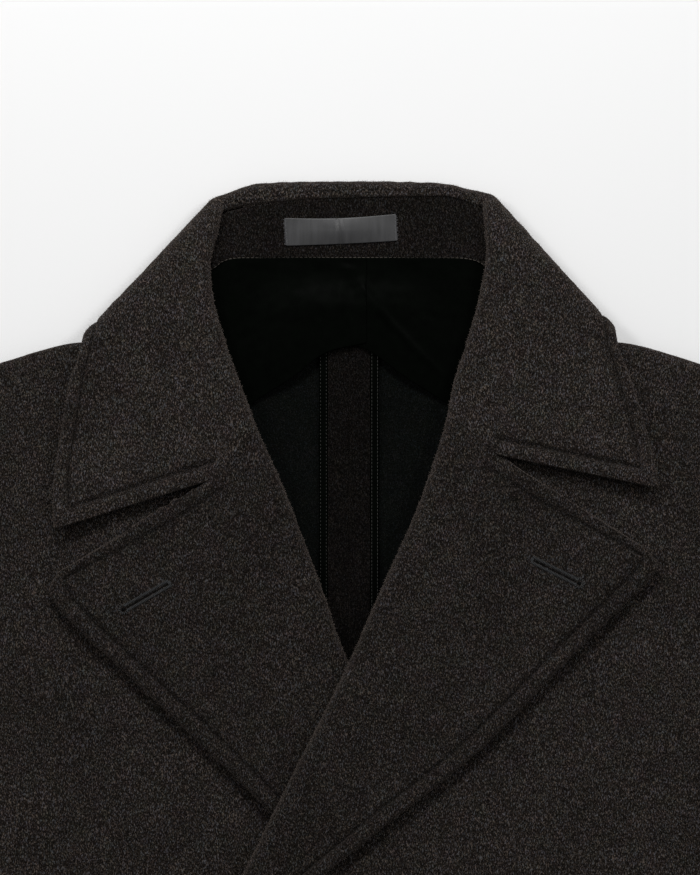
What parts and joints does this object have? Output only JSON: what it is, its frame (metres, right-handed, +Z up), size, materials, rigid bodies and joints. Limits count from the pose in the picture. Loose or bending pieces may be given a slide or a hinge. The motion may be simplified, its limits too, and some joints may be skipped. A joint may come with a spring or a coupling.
{
  "type": "pea coat",
  "caption": "Double-breasted wool pea coat laid flat and buttoned over, with a wide turned-down collar, notched lapels, slanted welt pockets and set-in sleeves.",
  "frame": {"origin": "centre of the coat's outline on the surface it lies on", "axes": "+X towards the coat's left sleeve, +Y from the hem towards the collar, +Z up off the surface, out of the coat's front"},
  "size_m": [1.2212, 0.7907, 0.0293],
  "materials": {
    "melton": "heathered, felted wool melton, matte with a short nap",
    "lining": "black cotton sateen, soft sheen",
    "label": "grey woven satin, blank",
    "button": "dark horn, polished rim"
  },
  "bodies": {
    "root": {"back_left": "melton", "back_right": "melton", "front_left": "melton", "front_right": "melton", "lapel_left": "melton", "lapel_right": "melton", "collar": "melton", "collar_stand": "melton", "upper_sleeve_left": "melton", "upper_sleeve_right": "melton", "under_sleeve_left": "melton", "under_sleeve_right": "melton", "pocket_welt_left": "melton", "pocket_welt_right": "melton", "seam_allowance_left": "melton", "seam_allowance_right": "melton", "seam_binding_left": "lining", "seam_binding_right": "lining", "yoke_lining_left": "lining", "yoke_lining_right": "lining", "label": "label", "button_left_1": "button", "button_left_2": "button", "button_left_3": "button", "button_right_1": "button", "button_right_2": "button", "button_right_3": "button"}
  },
  "joints": []
}
